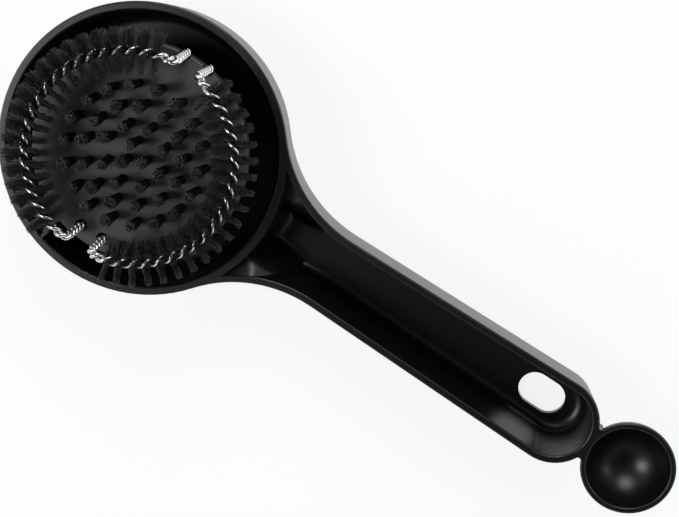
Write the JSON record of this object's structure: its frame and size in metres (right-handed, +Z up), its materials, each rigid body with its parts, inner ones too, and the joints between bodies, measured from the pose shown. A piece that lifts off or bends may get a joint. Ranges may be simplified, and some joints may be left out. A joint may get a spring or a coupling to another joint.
{
  "type": "group head brush",
  "caption": "Round black cup on a trough handle with a small scoop at its end, holding a tufted brush plate inside two half rings of twisted-wire brush.",
  "frame": {"origin": "on the cup's axis, in the plane of the flat underside that the tool lies on", "axes": "+Z up, the way the bristles point; +X from the cup along the handle to the scoop; +Y to the side"},
  "size_m": [0.2276, 0.0868, 0.0431],
  "materials": {
    "moulding": "satin black moulded plastic with a fine grain",
    "plate": "black moulded plastic",
    "tufts": "black nylon filament",
    "staples": "flat wire staple",
    "wire": "bright galvanised steel wire",
    "ring_bristles": "black nylon filament"
  },
  "bodies": {
    "root": {"body": "moulding", "brush_plate": "plate", "centre_tufts": "tufts", "tuft_staples": "staples", "left_strand_a": "wire", "left_strand_b": "wire", "left_bristles": "ring_bristles", "right_strand_a": "wire", "right_strand_b": "wire", "right_bristles": "ring_bristles"}
  },
  "joints": []
}
